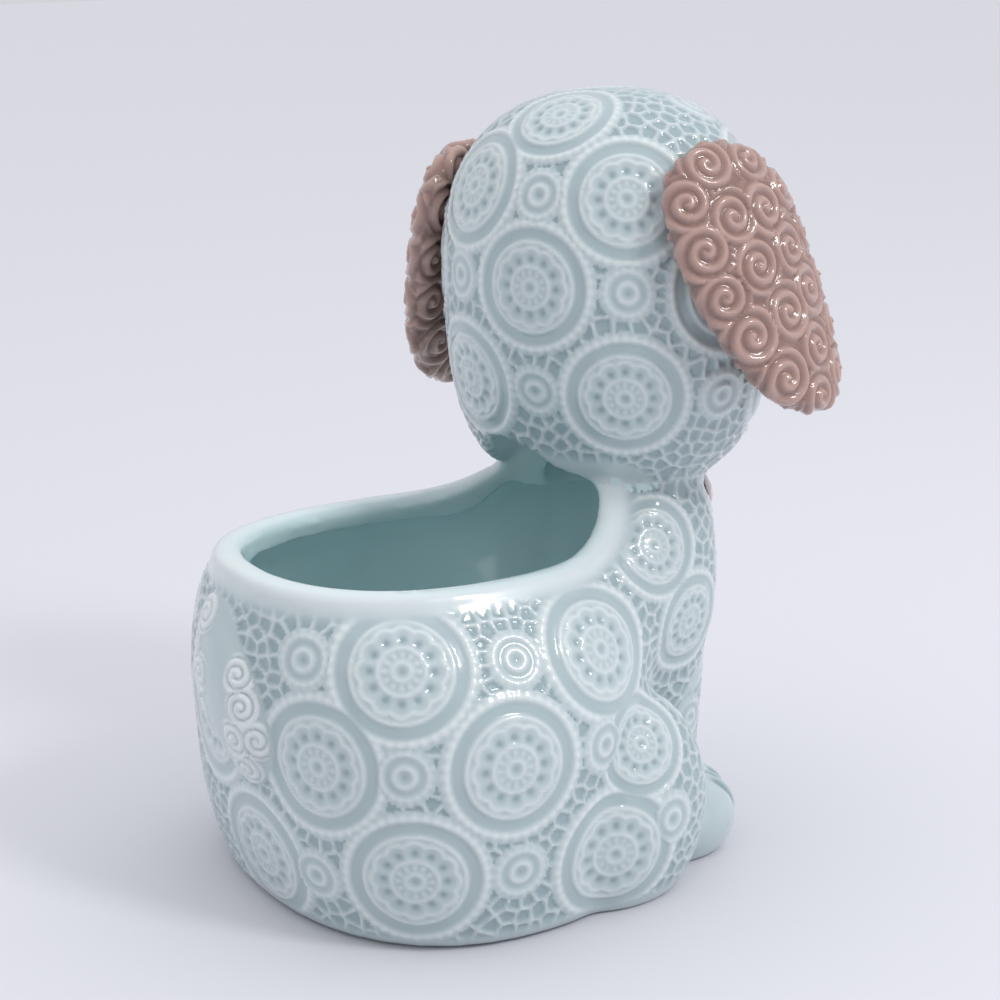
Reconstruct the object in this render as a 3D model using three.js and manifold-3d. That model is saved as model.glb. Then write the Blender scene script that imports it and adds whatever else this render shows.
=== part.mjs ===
import * as THREE from 'three';
import { mergeVertices } from 'three/addons/utils/BufferGeometryUtils.js';
import Module from 'manifold-3d';

// A sitting puppy whose back is an open pot, in glazed earthenware.
// Sizes are millimetres. The puppy faces -Y, its left side is +X, and its foot ring stands on z = 0.

// Wall and seams
const wall = 4.6;
const floorThickness = 6;
const cavityRounding = 9;
const seam = 0.3;
const footRecess = 2;
const footRingWidth = 9;
const footRounding = 3;
const finestEdge = 0.01;

// Pot
const potHeight = 80.7;
const potBaseHalfWidth = 55.5;
const potBellyHalfWidth = 60;
const potBellyAt = 0.45;
const potBaseRear = 69;
const potBellyRear = 76;
const potBaseFront = -27;
const potPower = 2.3;
const potFootDraw = 2;
const potShoulderDraw = 2.4;
const potFrontDraw = 1.6;

// Rim
const rimHalfWidth = 38;
const rimRear = 71;
const rimFront = -25.5;
const rimLip = 4.2;
const rimRearRise = 1.5;
const rimRearSharpness = 1.5;
const archRise = 22.8;
const archSharpness = 3.8;
const archLean = 12;
const archLeanSharpness = 20;
const archRiseDraw = 3;
const archLeanDraw = 6;
const rimRollHalfWidth = 4.2;
const rimRollHalfHeight = 3.1;
const archRollShare = 0.6;
const openingReach = 30;
const openingSlope = 1.15;
const archSlope = 3.4;
const archReach = 0.8;
const openingDepth = 14;
const openingNarrowing = 0.97;

// Chest, shoulders and neck, with heights counted from the rim
const chestY = -27.5;
const chestHalfWidth = 35.5;
const chestHalfDepth = 26.5;
const chestHeightAt = potHeight - 14.7;
const chestBottom = 8;
const chestFootWidth = 0.6;
const chestFootDepth = 0.4;
const chestFootDraw = 1.5;
const chestNeckDraw = 3;
const chestPower = 2.5;
const shoulderX = 20;
const shoulderY = -14;
const shoulderZ = potHeight - 10.7;
const shoulderHalfWidth = 20;
const shoulderHalfDepth = 22;
const shoulderHalfHeight = 20;
const neckHalfWidth = 23.5;
const neckHalfDepth = 20;
const neckFoot = potHeight + 3.3;
const neckTop = potHeight + 24.3;
const neckSeat = potHeight + 16.3;
const neckCrown = 4;
const neckSideStart = THREE.MathUtils.degToRad(38);
const neckSideEnd = THREE.MathUtils.degToRad(80);
const castingBlend = 11;
const ventRadius = 11;
const ventAhead = 2;

// Thighs, level with the pot's belly
const thighHalfWidth = 17;
const thighX = potBellyHalfWidth - thighHalfWidth;
const thighY = -5;
const thighZ = 22;
const thighHalfLength = 26;
const thighHalfHeight = 31;

// Hind paws
const hindPawX = potBellyHalfWidth - 27;
const hindPawY = -32.5;
const hindPawHalfWidth = 12;
const hindPawHalfLength = 17;
const hindPawHeight = 22;

// Forelegs and fore paws
const forelegX = 17.5;
const forelegY = -35;
const forelegLean = 3;
const forelegTop = potHeight - 4.7;
const forelegTopRadius = 14;
const forelegFootRadius = 10.5;
const forelegCrown = 0.5;
const forelegCrownFrom = 0.75;
const forePawHalfWidth = 10.5;
const forePawHalfLength = 14;
const forePawHeight = 15;
const forePawAhead = 10;
const forePawSetIn = 1;
const pawSink = 2;

// Head
const headY = -32;
const headZ = potHeight + 61.8;
const headHalfWidth = 43;
const headHalfDepth = 38;
const headCrownHeight = 48;
const headJawHeight = 53;
const headCrownPower = 2.45;
const headJawPower = 3.0;
const headJawSide = 4;
const headPole = THREE.MathUtils.degToRad(87.3);
const headHollowStart = THREE.MathUtils.degToRad(-35);
const headJawNarrowing = 0.14;
const headTurn = THREE.MathUtils.degToRad(25);
const headTilt = THREE.MathUtils.degToRad(4.5);

// Muzzle, nose and eyes, placed from the middle of the head
const muzzleAhead = 34;
const muzzleDrop = 15;
const muzzleHalfWidth = 18;
const muzzleHalfLength = 17;
const muzzleHalfHeight = 14;
const noseHalfWidth = 6.5;
const noseHalfHeight = 4.6;
const noseDepth = 4;
const noseSeat = 1.5;
const noseRise = 5.6;
const eyeRadius = 4.4;
const eyeHalfHeight = 5;
const eyeSpread = THREE.MathUtils.degToRad(25);
const eyeLift = 4;

// Ears
const earTop = 35;
const earLength = 64.5;
const earHalfWidth = 23;
const earHalfThickness = 4.6;
const earRootRadius = 38;
const earFlare = 18.5;
const leftEarSet = THREE.MathUtils.degToRad(-6);
const rightEarSet = THREE.MathUtils.degToRad(-17);
const earSwing = THREE.MathUtils.degToRad(18);
const earStandOff = 2.2;
const earBlend = 24;
const earPower = 2.4;
const earEdgeDraw = 0.6;
const earFlareDraw = 0.8;

// Tail
const tailZ = potHeight - 23.7;
const tailHalfHeight = 21;
const tailHalfWidth = 14.5;
const tailHalfDepth = 5;
const tailSwing = 16;
const tailSwingFrom = 0.7;
const tailLowness = 0.85;
const tailFullness = 0.6;

// Bow
const bowZ = potHeight + 7.3;
const bowLoopHalfLength = 11;
const bowLoopHalfHeight = 6;
const bowLoopHalfDepth = 4;
const bowKnotRadius = 4.2;
const bowSpread = 12;
const bowLoopTurn = THREE.MathUtils.degToRad(20);
const bowLoopSeat = 2.4;
const bowKnotSeat = 0.5;

const wasm = await Module();
wasm.setup();

// A closed geometry as a solid that can be joined and cut
function toSolid(geometry) {
  const bare = geometry.index ? geometry.clone() : geometry;
  bare.deleteAttribute('normal');
  bare.deleteAttribute('uv');
  const merged = mergeVertices(bare, 1e-4);
  return new wasm.Manifold(new wasm.Mesh({
    numProp: 3,
    vertProperties: new Float32Array(merged.attributes.position.array),
    triVerts: new Uint32Array(merged.index.array),
  }));
}

// The largest body of a solid, without the crumbs that a cut can leave
function mainBody(solid) {
  return solid.decompose().sort((a, b) => b.volume() - a.volume())[0];
}

// A solid back as a geometry, without edges shorter than the finest detail
function toGeometry(solid) {
  const { vertProperties, triVerts, numProp } = solid.simplify(finestEdge).getMesh();
  const position = new Float32Array((vertProperties.length / numProp) * 3);
  for (let i = 0; i < position.length / 3; i += 1) {
    for (let k = 0; k < 3; k += 1) {
      position[i * 3 + k] = vertProperties[i * numProp + k];
    }
  }
  const geometry = new THREE.BufferGeometry();
  geometry.setAttribute('position', new THREE.BufferAttribute(position, 3));
  geometry.setIndex(new THREE.BufferAttribute(new Uint32Array(triVerts), 1));
  geometry.computeVertexNormals();
  return geometry;
}

// Rings of equally many points, skinned and closed at both ends
function loft(rings) {
  const sides = rings[0].length;
  const points = rings.flat();
  const faces = [];
  for (let r = 0; r + 1 < rings.length; r += 1) {
    for (let i = 0; i < sides; i += 1) {
      const a = r * sides + i;
      const b = r * sides + ((i + 1) % sides);
      faces.push(a, b, b + sides, a, b + sides, a + sides);
    }
  }
  const closeEnd = (ring, start, flip) => {
    const middle = ring.reduce((sum, p) => sum.add(p), new THREE.Vector3()).divideScalar(sides);
    points.push(middle);
    for (let i = 0; i < sides; i += 1) {
      const a = start + i;
      const b = start + ((i + 1) % sides);
      faces.push(...(flip ? [b, a, points.length - 1] : [a, b, points.length - 1]));
    }
  };
  closeEnd(rings[0], 0, true);
  closeEnd(rings[rings.length - 1], (rings.length - 1) * sides, false);
  const geometry = new THREE.BufferGeometry().setFromPoints(points);
  geometry.setIndex(faces);
  return toSolid(geometry);
}

// One coordinate of a superellipse: a cosine or sine drawn towards a box as the power grows
function squared(value, power) {
  return Math.sign(value) * Math.abs(value) ** (2 / power);
}

// A ring of points around Z. Angle 0 is the front (-Y) and the turn goes by the left side (+X).
function ring(sides, pointAt) {
  return Array.from({ length: sides }, (_, i) => pointAt((i / sides) * Math.PI * 2));
}

function flatRing(sides, halfWidth, front, rear, z, power = 2) {
  const halfDepth = (rear - front) / 2;
  return ring(sides, (angle) => new THREE.Vector3(
    halfWidth * squared(Math.sin(angle), power),
    (rear + front) / 2 - halfDepth * squared(Math.cos(angle), power),
    z,
  ));
}

// A value that leaves base, swells to belly and comes in to end, over a fraction of the height
function swell(fraction, base, belly, end) {
  const below = fraction < potBellyAt;
  const reach = below ? 1 - fraction / potBellyAt : (fraction - potBellyAt) / (1 - potBellyAt);
  const draw = below ? potFootDraw : potShoulderDraw;
  return belly - (belly - (below ? base : end)) * reach ** draw;
}

// The pot's section at a fraction of its height, as a half width and where it starts and ends along Y
function potSection(fraction, inset) {
  return {
    halfWidth: swell(fraction, potBaseHalfWidth, potBellyHalfWidth, rimHalfWidth) - inset,
    rear: swell(fraction, potBaseRear, potBellyRear, rimRear) - inset,
    front: potBaseFront + (rimFront - potBaseFront) * fraction ** potFrontDraw + inset,
  };
}

// How far the rim rises behind
function rearRise(angle) {
  return rimRearRise * Math.max(-Math.cos(angle), 0) ** rimRearSharpness;
}

// The rim's height: low at the sides, a little higher behind, and up in an arch against the neck
function rimHeight(angle) {
  const ahead = Math.max(Math.cos(angle), 0);
  return potHeight + archRise * ahead ** archSharpness + rearRise(angle);
}

// A ring of the pot at a fraction of its height. The last one is the line of the rim.
function potRing(fraction, inset, sides = 48) {
  const { halfWidth, rear, front } = potSection(fraction, inset);
  return ring(sides, (angle) => {
    const ahead = Math.max(Math.cos(angle), 0);
    const lean = archLean * ahead ** archLeanSharpness * fraction ** archLeanDraw;
    const rise = (rimHeight(angle) - potHeight) * fraction ** archRiseDraw;
    return new THREE.Vector3(
      halfWidth * squared(Math.sin(angle), potPower),
      (rear + front) / 2 - ((rear - front) / 2) * squared(Math.cos(angle), potPower) + lean,
      potHeight * fraction + rise,
    );
  });
}

// The upright chest's section at a height, narrowing to the neck
function chestSection(z, inset) {
  const above = z > chestHeightAt;
  const span = above ? neckTop - chestHeightAt : chestHeightAt - chestBottom;
  const draw = (Math.abs(z - chestHeightAt) / span) ** (above ? chestNeckDraw : chestFootDraw);
  const endWidth = above ? neckHalfWidth : chestHalfWidth * chestFootWidth;
  const endDepth = above ? neckHalfDepth : chestHalfDepth * chestFootDepth;
  const halfDepth = chestHalfDepth - (chestHalfDepth - endDepth) * draw - inset;
  return {
    halfWidth: chestHalfWidth - (chestHalfWidth - endWidth) * draw - inset,
    rear: chestY + halfDepth,
    front: chestY - halfDepth,
  };
}

function insideSection({ halfWidth, rear, front }, power, x, y) {
  const across = Math.abs(x) / halfWidth;
  const along = Math.abs(y - (rear + front) / 2) / ((rear - front) / 2);
  return across ** power + along ** power < 1;
}

// The far edge of a form along a level direction from the upright axis, or 0 where it is missed
function farEdge(inside, angle) {
  const hit = (distance) => inside(distance * Math.sin(angle), -distance * Math.cos(angle));
  const stride = 2;
  let near = potBellyRear - potBaseFront;
  while (near > 0 && !hit(near)) near -= stride;
  if (near <= 0) return 0;
  let far = near + stride;
  for (let i = 0; i < 14; i += 1) {
    const middle = (near + far) / 2;
    if (hit(middle)) near = middle;
    else far = middle;
  }
  return near;
}

// The casting's radius at a height: pot, chest and shoulders run into one another
function castingRadius(angle, z, inset) {
  const fraction = z / potHeight;
  const lip = rimLip * Math.max((fraction - potBellyAt) / (1 - potBellyAt), 0);
  const pot = potSection(fraction, inset - lip);
  const chest = chestSection(Math.max(z, chestBottom), inset);
  const shoulder = (x, y) => (
    ((Math.abs(x) - shoulderX) / (shoulderHalfWidth - inset)) ** 2
    + ((y - shoulderY) / (shoulderHalfDepth - inset)) ** 2
    + ((z - shoulderZ) / (shoulderHalfHeight - inset)) ** 2 < 1);
  const forms = [
    farEdge((x, y) => insideSection(pot, potPower, x, y), angle),
    farEdge((x, y) => insideSection(chest, chestPower, x, y), angle),
    farEdge(shoulder, angle),
  ];
  return forms.reduce((sum, radius) => sum + radius ** castingBlend, 0) ** (1 / castingBlend);
}

// How high the casting's side runs before it closes: to the rim behind, to the neck in front
function castingTop(angle) {
  const turned = Math.abs(Math.atan2(Math.sin(angle), Math.cos(angle)));
  const share = THREE.MathUtils.smoothstep(neckSideEnd - turned, 0, neckSideEnd - neckSideStart);
  return potHeight + rearRise(angle) + (neckSeat - potHeight) * share;
}

// The casting from a floor height up, drawn in by an inset, with its lower edge rounded
function castingForm(inset, floor, rounding, steps, sides) {
  const layer = (levelAt, draw, spread = 1, rise = 0) => ring(sides, (angle) => {
    const level = levelAt(castingTop(angle) - Math.max(inset, 0));
    const radius = castingRadius(angle, level, inset + draw) * spread;
    return new THREE.Vector3(radius * Math.sin(angle), -radius * Math.cos(angle), level + rise);
  });
  const rings = [0, Math.PI / 4].map((turn) => (
    layer(() => floor + rounding * (1 - Math.cos(turn)), rounding * (1 - Math.sin(turn)))));
  for (let i = 0; i <= steps; i += 1) {
    rings.push(layer((top) => floor + rounding + (top - floor - rounding) * (i / steps), 0));
  }
  for (const spread of [0.9, 0.7, 0.4]) {
    rings.push(layer((top) => top, 0, spread, (1 - spread) * neckCrown));
  }
  return loft(rings);
}

// The opening inside the rim, with a space above it as given, run down and forward under the arch
function openingForm(above) {
  const rim = potRing(1, rimRollHalfWidth / 2);
  const under = rim.map((p) => (
    new THREE.Vector3(p.x * openingNarrowing, p.y - openingDepth, p.z - openingDepth)));
  return loft([under, rim, rim.map(above)]);
}

// Above the opening, a space run on up and back at a slope
function upAndBack(point) {
  return point.clone().add(new THREE.Vector3(0, openingReach * openingSlope, openingReach));
}

// Above the opening, a shallow roof that rises from the rim towards the middle of the pot
function roof(point) {
  const middle = new THREE.Vector3(0, (rimRear + rimFront) / 2, point.z);
  const rise = (point.distanceTo(middle) * archReach) / archSlope;
  return point.clone().lerp(middle, archReach).setZ(point.z + rise);
}

function ellipsoid(halfX, halfY, halfZ, around = 24, up = 14) {
  const geometry = new THREE.SphereGeometry(1, around, up);
  geometry.rotateX(Math.PI / 2);
  geometry.scale(halfX, halfY, halfZ);
  return geometry;
}

// Everything under the standing plane, to trim round forms flat
function belowGround() {
  const side = 3 * (potBellyRear + potBellyHalfWidth);
  const block = new THREE.BoxGeometry(side, side, potHeight);
  block.translate(0, 0, -potHeight / 2);
  return toSolid(block);
}

function thighForm(side, grow) {
  const geometry = ellipsoid(thighHalfWidth + grow, thighHalfLength + grow, thighHalfHeight + grow);
  geometry.translate(side * thighX, thighY, thighZ);
  return toSolid(geometry);
}

// The rolled rim, a round bead swept along the pot's last ring
function rimRoll(grow) {
  const line = potRing(1, 0, 52);
  const sides = 8;
  const beads = line.map((point, i) => {
    const next = line[(i + 1) % line.length];
    const last = line[(i + line.length - 1) % line.length];
    const along = next.clone().sub(last).normalize();
    const out = along.clone().cross(new THREE.Vector3(0, 0, 1)).normalize();
    const up = out.clone().cross(along).normalize();
    const ahead = Math.max(Math.cos((i / line.length) * Math.PI * 2), 0);
    const share = 1 - (1 - archRollShare) * ahead ** 2;
    return Array.from({ length: sides }, (_, k) => {
      const turn = (k / sides) * Math.PI * 2;
      return point.clone()
        .addScaledVector(out, (rimRollHalfWidth * share + grow) * Math.cos(turn))
        .addScaledVector(up, (rimRollHalfHeight * share + grow) * Math.sin(turn));
    });
  });
  const faces = [];
  for (let i = 0; i < beads.length; i += 1) {
    for (let k = 0; k < sides; k += 1) {
      const a = i * sides + k;
      const b = i * sides + ((k + 1) % sides);
      const c = ((i + 1) % beads.length) * sides + k;
      const d = ((i + 1) % beads.length) * sides + ((k + 1) % sides);
      faces.push(a, c, d, a, d, b);
    }
  }
  const geometry = new THREE.BufferGeometry().setFromPoints(beads.flat());
  geometry.setIndex(faces);
  return toSolid(geometry);
}

// The head's place: its middle, turned to the puppy's left and leaned a little towards that shoulder
const headPlace = new THREE.Matrix4()
  .makeTranslation(0, headY, headZ)
  .multiply(new THREE.Matrix4().makeRotationZ(headTurn))
  .multiply(new THREE.Matrix4().makeRotationY(headTilt));

// The head's section at a height above its middle: an oval that narrows and leans aside at the jaw
function headSection(z, grow = 0) {
  const halfHeight = z < 0 ? headJawHeight : headCrownHeight;
  const power = z < 0 ? headJawPower : headCrownPower;
  const share = Math.min(Math.abs(z) / (halfHeight + grow), 1);
  const round = (1 - share ** power) ** (1 / power);
  const jaw = z < 0 ? share : 0;
  return {
    halfWidth: (headHalfWidth + grow) * round,
    halfDepth: (headHalfDepth + grow) * round * (1 - headJawNarrowing * jaw),
    side: headJawSide * jaw ** 1.5,
  };
}

// The egg of the head about its own middle, from a latitude up
function headEgg(grow, around = 32, up = 18, start = -headPole) {
  const rings = [];
  for (let i = 0; i <= up; i += 1) {
    const turn = start + ((headPole - start) * i) / up;
    const halfHeight = turn < 0 ? headJawHeight : headCrownHeight;
    const z = (halfHeight + grow) * squared(Math.sin(turn), headCrownPower);
    const { halfWidth, halfDepth, side } = headSection(z, grow);
    rings.push(flatRing(around, halfWidth, -halfDepth, halfDepth, z).map((p) => p.setX(p.x + side)));
  }
  return loft(rings);
}

function muzzleForm(grow) {
  const geometry = ellipsoid(
    muzzleHalfWidth + grow,
    muzzleHalfLength + grow,
    muzzleHalfHeight + grow,
    20,
    10,
  );
  geometry.translate(0, -muzzleAhead, -muzzleDrop);
  return toSolid(geometry);
}

function headForm(grow) {
  return headEgg(grow).add(muzzleForm(grow));
}

function placed(solid, matrix) {
  return solid.transform(Array.from(matrix.elements));
}

// Where the line of the rim crosses Y on its way round the front, at a distance from the middle
function rimLineY(x) {
  const along = (1 - Math.min(Math.abs(x) / rimHalfWidth, 1) ** potPower) ** (1 / potPower);
  const lean = archLean * along ** ((potPower / 2) * archLeanSharpness);
  return (rimRear + rimFront) / 2 - ((rimRear - rimFront) / 2) * along + lean;
}

// The neck, a collar that stands up inside the foot of the head and is open behind under the arch
function neckForm(inset) {
  const oval = flatRing(
    36,
    neckHalfWidth - inset,
    chestY - neckHalfDepth + inset,
    chestY + neckHalfDepth - inset,
    0,
    chestPower,
  );
  const section = (z) => oval.map((p) => (
    new THREE.Vector3(p.x, Math.min(p.y, rimLineY(p.x) - inset), z)));
  return loft([section(neckFoot), section(neckTop - inset)]);
}

// The vent from the pot through the neck into the hollow head
function ventForm() {
  const low = chestHeightAt;
  const high = headZ - headJawHeight / 2;
  const vent = new THREE.CylinderGeometry(ventRadius, ventRadius, high - low, 24);
  vent.rotateX(Math.PI / 2);
  vent.translate(0, headY - ventAhead, (low + high) / 2);
  return toSolid(vent);
}

function buildPotBody() {
  const recessRing = (z) => potRing(0, footRounding + footRingWidth).map((p) => p.setZ(z));
  const recess = loft([recessRing(-1), recessRing(footRecess)]);
  const hollow = castingForm(wall, floorThickness, cavityRounding, 7, 36)
    .subtract(placed(headForm(wall + seam), headPlace))
    .add(neckForm(wall))
    .add(openingForm(upAndBack))
    .add(ventForm());
  return mainBody(castingForm(0, 0, footRounding, 13, 52)
    .add(thighForm(1, 0))
    .add(thighForm(-1, 0))
    .subtract(belowGround())
    .subtract(placed(headForm(seam), headPlace))
    .add(neckForm(0))
    .subtract(hollow)
    .subtract(recess)
    .add(rimRoll(0)));
}

function buildHead() {
  const toHead = headPlace.clone().invert();
  const neckClearance = neckForm(-seam)
    .add(rimRoll(seam))
    .add(openingForm(roof))
    .add(ventForm());
  return mainBody(headForm(0)
    .subtract(headEgg(-wall, 24, 9, headHollowStart))
    .subtract(placed(neckClearance, toHead)));
}

// A standing form run on into the ground, so that it cuts its neighbours cleanly at their feet
function sunk(solid) {
  return solid.add(solid.translate([0, 0, -seam]));
}

// Forms that others are cut back from, each grown by the seam
const bodyClearance = sunk(castingForm(-seam, 0, footRounding, 13, 52))
  .add(thighForm(1, seam))
  .add(thighForm(-1, seam));

function forelegForm(side, grow) {
  const rings = [];
  const steps = 8;
  for (let i = 0; i <= steps; i += 1) {
    const share = i / steps;
    const z = forelegTop * share;
    const over = Math.max(share - forelegCrownFrom, 0) / (1 - forelegCrownFrom);
    const round = Math.sqrt(1 - (1 - forelegCrown ** 2) * over ** 2);
    const radius = (forelegFootRadius + (forelegTopRadius - forelegFootRadius) * share) * round + grow;
    const y = forelegY - forelegLean * share;
    rings.push(flatRing(20, radius, y - radius, y + radius, z)
      .map((p) => new THREE.Vector3(p.x + side * forelegX, p.y, p.z)));
  }
  return loft(rings);
}

// A rounded paw, not yet trimmed flat to the ground
function pawForm(side, x, y, halfWidth, halfLength, height, grow) {
  const halfHeight = height / 2 + pawSink;
  const geometry = ellipsoid(halfWidth + grow, halfLength + grow, halfHeight + grow, 20, 12);
  geometry.translate(side * x, y, height / 2 - pawSink);
  return toSolid(geometry);
}

function forePawForm(side, grow) {
  const y = forelegY - forePawAhead;
  const x = forelegX - forePawSetIn;
  return pawForm(side, x, y, forePawHalfWidth, forePawHalfLength, forePawHeight, grow);
}

function hindPawForm(side, grow) {
  return pawForm(side, hindPawX, hindPawY, hindPawHalfWidth, hindPawHalfLength, hindPawHeight, grow);
}

function buildForeleg(side) {
  return mainBody(forelegForm(side, 0).subtract(bodyClearance));
}

function buildForePaw(side) {
  return mainBody(forePawForm(side, 0)
    .subtract(sunk(forelegForm(side, seam)))
    .subtract(bodyClearance)
    .subtract(belowGround()));
}

function buildHindPaw(side) {
  return mainBody(hindPawForm(side, 0)
    .subtract(bodyClearance)
    .subtract(sunk(forelegForm(side, seam)))
    .subtract(forePawForm(side, seam))
    .subtract(belowGround()));
}

// Shares of a length in small steps near both ends, a hair short of them so that no ring closes up
function easedShares(steps, hair = 0.004) {
  return Array.from({ length: steps + 1 }, (_, i) => (
    hair + (1 - 2 * hair) * (0.5 - 0.5 * Math.cos((Math.PI * i) / steps))));
}

// The ear's half width, half thickness, reach from the head's axis and swing at a share of its length
function earShape(share, set) {
  const leaf = (1 - Math.abs(2 * share - 1) ** earPower) ** (1 / earPower);
  return {
    z: earTop - earLength * share,
    halfWidth: earHalfWidth * leaf,
    halfThickness: earHalfThickness * leaf ** earEdgeDraw,
    reach: earRootRadius + earFlare * share ** earFlareDraw,
    swing: set + earSwing * share,
  };
}

// A point of the left ear: across runs from the rear edge (-1) to the front edge (1), out from the middle
function earPoint(shape, across, out) {
  const { z, halfWidth, halfThickness, reach, swing } = shape;
  const azimuth = swing + (across * halfWidth) / reach;
  const { halfWidth: headX, halfDepth: headDepth } = headSection(z);
  const skin = 1 / Math.hypot(Math.cos(azimuth) / headX, Math.sin(azimuth) / headDepth);
  const seated = (reach ** earBlend + (skin + earStandOff) ** earBlend) ** (1 / earBlend);
  const radius = seated + out * halfThickness;
  return new THREE.Vector3(radius * Math.cos(azimuth), -radius * Math.sin(azimuth), z);
}

// An ear for the left side of the head, set by hand, so that no two ears sit quite alike
function buildEar(set) {
  const sides = 20;
  const rings = easedShares(14).map((share) => (
    Array.from({ length: sides }, (_, k) => {
      const turn = (k / sides) * Math.PI * 2;
      const across = squared(Math.cos(turn), earPower);
      return earPoint(earShape(share, set), across, squared(-Math.sin(turn), earPower));
    })));
  return loft(rings).subtract(headEgg(seam));
}

function mirrored(solid) {
  return solid.mirror([1, 0, 0]);
}

// The tail, a paddle that lies against the rear wall with its broad end down and to the right
function buildTail() {
  const rings = easedShares(12).map((share) => {
    const leaf = Math.sin(Math.PI * share ** tailLowness) ** tailFullness;
    const z = tailZ - tailHalfHeight + 2 * tailHalfHeight * share;
    const middleX = tailSwing * (share - tailSwingFrom);
    const halfDepth = tailHalfDepth * leaf;
    return flatRing(20, tailHalfWidth * leaf, -halfDepth, halfDepth, z).map((p) => {
      const angle = Math.PI - (middleX + p.x) / potBellyRear;
      const radius = castingRadius(angle, z, 0) + p.y;
      return new THREE.Vector3(radius * Math.sin(angle), -radius * Math.cos(angle), z);
    });
  });
  return loft(rings).subtract(bodyClearance);
}

function buildNose() {
  const geometry = ellipsoid(noseHalfWidth, noseDepth, noseHalfHeight, 14, 8);
  geometry.translate(0, -muzzleAhead - muzzleHalfLength + noseSeat, -muzzleDrop + noseRise);
  return toSolid(geometry).subtract(headForm(seam));
}

function buildEye(side) {
  const geometry = ellipsoid(eyeRadius, eyeRadius, eyeHalfHeight, 14, 8);
  const { halfWidth, halfDepth } = headSection(eyeLift);
  geometry.translate(side * halfWidth * Math.sin(eyeSpread), -halfDepth * Math.cos(eyeSpread), eyeLift);
  return toSolid(geometry).subtract(headForm(seam));
}

function buildBow() {
  const front = chestY - chestHalfDepth;
  const loop = (side) => {
    const geometry = ellipsoid(bowLoopHalfLength, bowLoopHalfDepth, bowLoopHalfHeight, 14, 8);
    geometry.rotateZ(side * bowLoopTurn);
    geometry.translate(side * bowSpread, front + bowLoopSeat, bowZ);
    return toSolid(geometry);
  };
  const knot = ellipsoid(bowKnotRadius, bowKnotRadius, bowKnotRadius, 12, 8);
  knot.translate(0, front - bowKnotSeat, bowZ);
  return loop(1).add(loop(-1)).add(toSolid(knot))
    .subtract(bodyClearance)
    .subtract(placed(headForm(seam), headPlace));
}

const glaze = { roughness: 0.12, metalness: 0 };
const aqua = { ...glaze, color: 0xbfd6d8 };
const pink = { ...glaze, color: 0xc99f99 };
const black = { ...glaze, color: 0x1b1a1c };

function piece(name, solid, finish) {
  const mesh = new THREE.Mesh(toGeometry(solid), new THREE.MeshStandardMaterial(finish));
  mesh.name = name;
  return mesh;
}

const headGroup = new THREE.Group();
headGroup.applyMatrix4(headPlace);
headGroup.add(
  piece('head', buildHead(), aqua),
  piece('left_ear', buildEar(leftEarSet), pink),
  piece('right_ear', mirrored(buildEar(rightEarSet)), pink),
  piece('nose', buildNose(), black),
  piece('left_eye', buildEye(1), black),
  piece('right_eye', buildEye(-1), black),
);

const puppyPlanter = new THREE.Group();
puppyPlanter.add(
  piece('pot_body', buildPotBody(), aqua),
  piece('tail', buildTail(), aqua),
  piece('bow', buildBow(), pink),
  headGroup,
);
for (const [name, side] of [['left', 1], ['right', -1]]) {
  puppyPlanter.add(
    piece(`${name}_foreleg`, buildForeleg(side), aqua),
    piece(`${name}_fore_paw`, buildForePaw(side), aqua),
    piece(`${name}_hind_paw`, buildHindPaw(side), aqua),
  );
}

// The frame's origin: the middle of the bounding box, on the ground
const box = new THREE.Box3().setFromObject(puppyPlanter, true);
const middle = box.getCenter(new THREE.Vector3());
puppyPlanter.position.set(-middle.x, -middle.y, -box.min.z);

export default puppyPlanter;
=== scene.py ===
# %% [markdown]
# # A puppy planter in pale aqua glaze
# The real object is slip-cast earthenware: thin castings luted together with slip, pressed all over
# with a relief of crocheted lace rosettes, and dipped in a glossy glaze. The glaze runs off the
# ridges and lies thick in the grooves, so the relief shows as light lines on a deeper ground.
# This lesson dresses the plain solids of the model: each casting gets its relief in real geometry.

# %% The frame and its box
import math
import bpy
import numpy as np
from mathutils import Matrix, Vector
from mathutils.bvhtree import BVHTree
from mathutils.kdtree import KDTree


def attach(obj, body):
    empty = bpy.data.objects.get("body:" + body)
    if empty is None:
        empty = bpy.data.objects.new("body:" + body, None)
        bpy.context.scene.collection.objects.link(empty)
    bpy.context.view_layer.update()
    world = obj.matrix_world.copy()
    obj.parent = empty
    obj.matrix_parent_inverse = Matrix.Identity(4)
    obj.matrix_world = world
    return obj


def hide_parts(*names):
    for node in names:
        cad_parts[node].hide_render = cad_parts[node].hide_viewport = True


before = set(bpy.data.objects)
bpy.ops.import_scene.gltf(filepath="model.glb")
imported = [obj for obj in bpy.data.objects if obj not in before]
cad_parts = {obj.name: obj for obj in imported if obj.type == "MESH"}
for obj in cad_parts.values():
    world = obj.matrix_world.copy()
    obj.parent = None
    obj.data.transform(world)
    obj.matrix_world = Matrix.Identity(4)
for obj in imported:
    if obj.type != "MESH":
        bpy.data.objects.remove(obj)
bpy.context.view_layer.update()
MM = 0.001
print("solids:", sorted(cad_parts))

# %% [markdown]
# The camera stands behind the puppy on its right, a little above it, as the photographer did.
# The place was found by matching the outline of the solids with the photograph. Lengths are in
# millimetres, save the nearest distance that the camera sees, which is in metres.

# %% Camera
CAMERA_TURN = math.radians(58)
CAMERA_RISE = math.radians(16)
CAMERA_DISTANCE = 560
CAMERA_TARGET = Vector((0, -0.18, 95))
PHOTO_SIZE = 1000
PHOTO_FOCAL = 2238
PHOTO_CENTRE_Y = 481
SENSOR = 36.0
NEAREST_SEEN = 0.01
BEHIND = Vector((-math.sin(CAMERA_TURN), math.cos(CAMERA_TURN), 0))


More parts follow.
